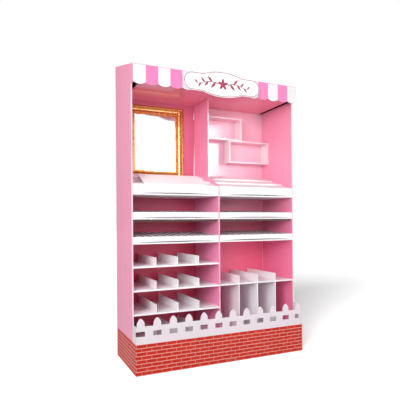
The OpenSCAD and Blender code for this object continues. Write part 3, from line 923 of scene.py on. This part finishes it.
sliverLook = {  # white strips on the back panel beside the divider, tapering in two stretches: painted highlight for the bright light in the slit behind the divider
    "stretches": [  # lower and upper end, and the width at each
        (1.045, 1.258, 8.5 * millimetre, 0.8 * millimetre),
        (1.402, 1.447, 7.5 * millimetre, 2.0 * millimetre),
    ],
    "gap": 1.0 * millimetre, "thickness": 0.25 * millimetre, "sunk": 0.1 * millimetre,
}


def makeSlivers():
    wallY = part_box("back_panel")[0].y
    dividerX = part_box("centre_divider")[0].x - sliverLook["gap"]
    for index, (lowZ, highZ, lowWidth, highWidth) in enumerate(sliverLook["stretches"]):
        lowEnd = [(dividerX - lowWidth, lowZ), (dividerX, lowZ)]
        highEnd = [(dividerX, highZ), (dividerX - highWidth, highZ)]
        outline = [Vector(corner) for corner in lowEnd + highEnd]
        shape = prism(outline, wallY - sliverLook["thickness"], wallY + sliverLook["sunk"])
        # white card strips as painted highlight, where bright light shows in the slit
        addPiece("slit_light_sliver_" + str(index + 1), *shape, materials["folded"], "board_pink")
    print("slivers made")


makePlaqueDetail()
makeFrame()
makeMirrorSheet()
makeSlivers()


# Stage: floor, world, lamps and camera

stageLook = {
    "floorHalf": 40.0, "floorColour": ink(232, 232, 232), "bounceColour": ink(128, 128, 128),
    "floorRoughness": 0.8, "floorSpecular": 0.1, "floorShine": 0.3,
    "nearGlow": 0.3, "farGlow": 0.45, "nearReach": 2.0, "farReach": 6.0,
    "ambient": 0.21, "lowShine": 0.1, "highShine": 1.0, "rearShine": 0.45,
    "shineSpan": (-0.02, 0.09), "rearSpan": (-0.2, 0.5),
    "sunAim": (1.0, 0.95, -0.5), "sunAngle": 28.0, "sunPower": 6.2,
}
shelfTops = ["show_card", "left_shelf_4", "left_shelf_5", "left_shelf_6", "plinth_deck"]
lampLook = {  # place, aim, width, height, power, whether it shows in reflections, and what it lights
    "keyLamp": ((-2.6, -2.3, 1.6), (0, 0, 0.95), 1.0, 1.0, 48.0, False, "all"),
    "frontLamp": ((-2.0, -2.8, 1.4), (0, 0, 0.95), 1.0, 1.0, 21.0, False, "all"),
    "highLeftLamp": ((-2.4, -1.6, 2.8), (0, 0, 0.8), 1.2, 1.2, 28.0, False, "all"),
    "highRightLamp": ((1.4, -2.0, 2.6), (0.1, 0, 0.9), 0.8, 0.8, 10.0, False, "all"),
    "softLamp": ((1.4, -2.4, 1.4), (0.2, 0.1, 1.2), 0.8, 0.8, 16.0, False, "all"),
    "lowLamp": ((0.4, -2.2, 0.6), (0, 0, 0.7), 0.8, 0.8, 3.0, False, "all"),
    "upLamp": ((0.4, -1.3, 0.25), (0.15, 0.0, 1.3), 0.8, 0.5, 2.0, False, "all"),
    "wallLamp": ((0.5, -2.6, 1.4), (0.3, 0.2, 1.3), 0.8, 0.8, 9.0, False, ["back_panel"]),
    "shelfLamp": ((-0.3, -1.6, 2.2), (-0.2, 0.0, 0.7), 0.8, 0.5, 6.0, False, shelfTops),
    "backLamp": ((0.5, 2.9, 2.4), (0, 0.2, 0.9), 1.4, 1.4, 50.0, False, "stand"),
    "sideLamp": ((2.9, 0.7, 1.8), (0.4, 0.1, 0.9), 1.4, 1.4, 42.0, False, "stand"),
    "leftLamp": ((-3.0, 0.5, 0.9), (-0.5, 0.1, 0.7), 1.2, 1.2, 11.0, False, "stand"),
    "topLamp": ((0.3, 0.8, 3.4), (0, 0, 1.6), 1.2, 1.2, 16.0, False, "stand"),
    "glareLamp": ((1.26, -2.35, 1.7), (0.1, 0.1, 1.2), 0.34, 0.85, 15.0, True, "reflections"),
    "frameLamp": ((0.7, -2.35, 1.5), (-0.2, 0.2, 1.1), 0.5, 0.5, 9.0, True, "reflections"),
}


def makeFloor():
    half = stageLook["floorHalf"]
    mesh = bpy.data.meshes.new("floor")
    corners = [(-half, -half, 0), (half, -half, 0), (half, half, 0), (-half, half, 0)]
    mesh.from_pydata(corners, [], [(0, 1, 2, 3)])
    floor = bpy.data.objects.new("floor", mesh)
    scene.collection.objects.link(floor)
    material, tree, shader = startMaterial("paleFloor")
    path = place(tree, "ShaderNodeLightPath").outputs
    shown = mixColour(tree, path["Is Camera Ray"], stageLook["bounceColour"], stageLook["floorColour"])
    feed(tree, shader["Base Color"], shown)
    shader["Roughness"].default_value = stageLook["floorRoughness"]
    shader["Specular IOR Level"].default_value = stageLook["floorSpecular"]
    shader["Emission Color"].default_value = (1, 1, 1, 1)
    spread = place(tree, "ShaderNodeVectorMath", operation="LENGTH")
    feed(tree, spread.inputs[0], objectPoint(tree))
    glow = remap(tree, spread.outputs["Value"], stageLook["nearReach"], stageLook["farReach"],
                 stageLook["nearGlow"], stageLook["farGlow"])
    shine = calc(tree, "MULTIPLY", path["Is Glossy Ray"], stageLook["floorShine"])
    feed(tree, shader["Emission Strength"], calc(tree, "MULTIPLY_ADD", path["Is Camera Ray"], glow, shine))
    mesh.materials.append(material)
    return floor


def linkLamp(lamp, pieces, state):
    # makes a lamp light these pieces alone, or everything but these
    linked = bpy.data.collections.new(lamp.name + "Link")
    for piece in pieces:
        linked.objects.link(piece)
    for entry in linked.collection_objects:
        entry.light_linking.link_state = state
    lamp.light_linking.receiver_collection = linked


def addFloorSun(floor):
    # lights the floor alone, so that the stand's shadow falls to the right and behind it
    data = bpy.data.lights.new("floorSun", "SUN")
    data.energy = stageLook["sunPower"]
    data.angle = math.radians(stageLook["sunAngle"])
    lamp = bpy.data.objects.new("floorSun", data)
    lamp.rotation_euler = Vector(stageLook["sunAim"]).to_track_quat("-Z", "Y").to_euler()
    scene.collection.objects.link(lamp)
    linkLamp(lamp, [floor], "INCLUDE")


def makeWorld():
    # white to the camera, and in reflections bright above the horizon and dim below it,
    # like a room with high lamps
    world = bpy.data.worlds.new("studio")
    world.use_nodes = True
    tree = world.node_tree
    path = place(tree, "ShaderNodeLightPath").outputs
    axes = axesOf(tree, place(tree, "ShaderNodeTexCoord").outputs["Generated"])
    high = remap(tree, axes["Y"], *stageLook["rearSpan"], stageLook["highShine"], stageLook["rearShine"])
    low = remap(tree, axes["Y"], *stageLook["rearSpan"], stageLook["lowShine"], stageLook["rearShine"])
    shine = remap(tree, axes["Z"], *stageLook["shineSpan"], low, high)
    strength = remap(tree, path["Is Glossy Ray"], 0.0, 1.0, stageLook["ambient"], shine)
    seen = calc(tree, "MAXIMUM", path["Is Camera Ray"], path["Is Transmission Ray"])
    background = tree.nodes["Background"].inputs
    background["Color"].default_value = (1, 1, 1, 1)
    feed(tree, background["Strength"], remap(tree, seen, 0.0, 1.0, strength, 1.0))
    scene.world = world


def addLamp(floor, name, position, target, width, height, power, shines, lit):
    data = bpy.data.lights.new(name, "AREA")
    data.shape = "RECTANGLE"
    data.size = width
    data.size_y = height
    data.energy = power
    lamp = bpy.data.objects.new(name, data)
    lamp.location = position
    lamp.visible_diffuse = lit != "reflections"
    lamp.visible_glossy = shines
    lamp.rotation_euler = (Vector(target) - Vector(position)).to_track_quat("-Z", "Y").to_euler()
    scene.collection.objects.link(lamp)
    if lit == "stand":
        linkLamp(lamp, [floor], "EXCLUDE")
    elif isinstance(lit, list):
        linkLamp(lamp, [nodes[piece] for piece in lit], "INCLUDE")


def makeCamera():
    # found by fitting the stand's edges in the photograph
    view = {"position": (-1.0657, -2.2915, 0.7587), "azimuth": 24.773, "pitch": 0.307, "roll": -0.457,
            "focalPixels": 432.36, "centre": (208, 220), "framePixels": 400, "sensor": 36.0, "clipEnd": 200}
    azimuth, pitch, roll = (math.radians(view[key]) for key in ("azimuth", "pitch", "roll"))
    forward = Vector((
        math.sin(azimuth) * math.cos(pitch), math.cos(azimuth) * math.cos(pitch), math.sin(pitch)))
    level = Vector((math.cos(azimuth), -math.sin(azimuth), 0))
    upright = level.cross(forward)
    right = math.cos(roll) * level + math.sin(roll) * upright
    up = math.cos(roll) * upright - math.sin(roll) * level
    turn = Matrix((right, up, -forward)).transposed().to_4x4()
    data = bpy.data.cameras.new("camera")
    data.sensor_width = view["sensor"]
    data.lens = view["focalPixels"] / view["framePixels"] * view["sensor"]
    data.shift_x = 0.5 - view["centre"][0] / view["framePixels"]
    data.shift_y = view["centre"][1] / view["framePixels"] - 0.5
    data.clip_end = view["clipEnd"]
    camera = bpy.data.objects.new("camera", data)
    camera.matrix_world = Matrix.Translation(view["position"]) @ turn
    scene.collection.objects.link(camera)
    scene.camera = camera


floor = makeFloor()
addFloorSun(floor)
makeWorld()
for name, settings in lampLook.items():
    addLamp(floor, name, *settings)
makeCamera()
scene.view_settings.view_transform = "Standard"
print("stage set")
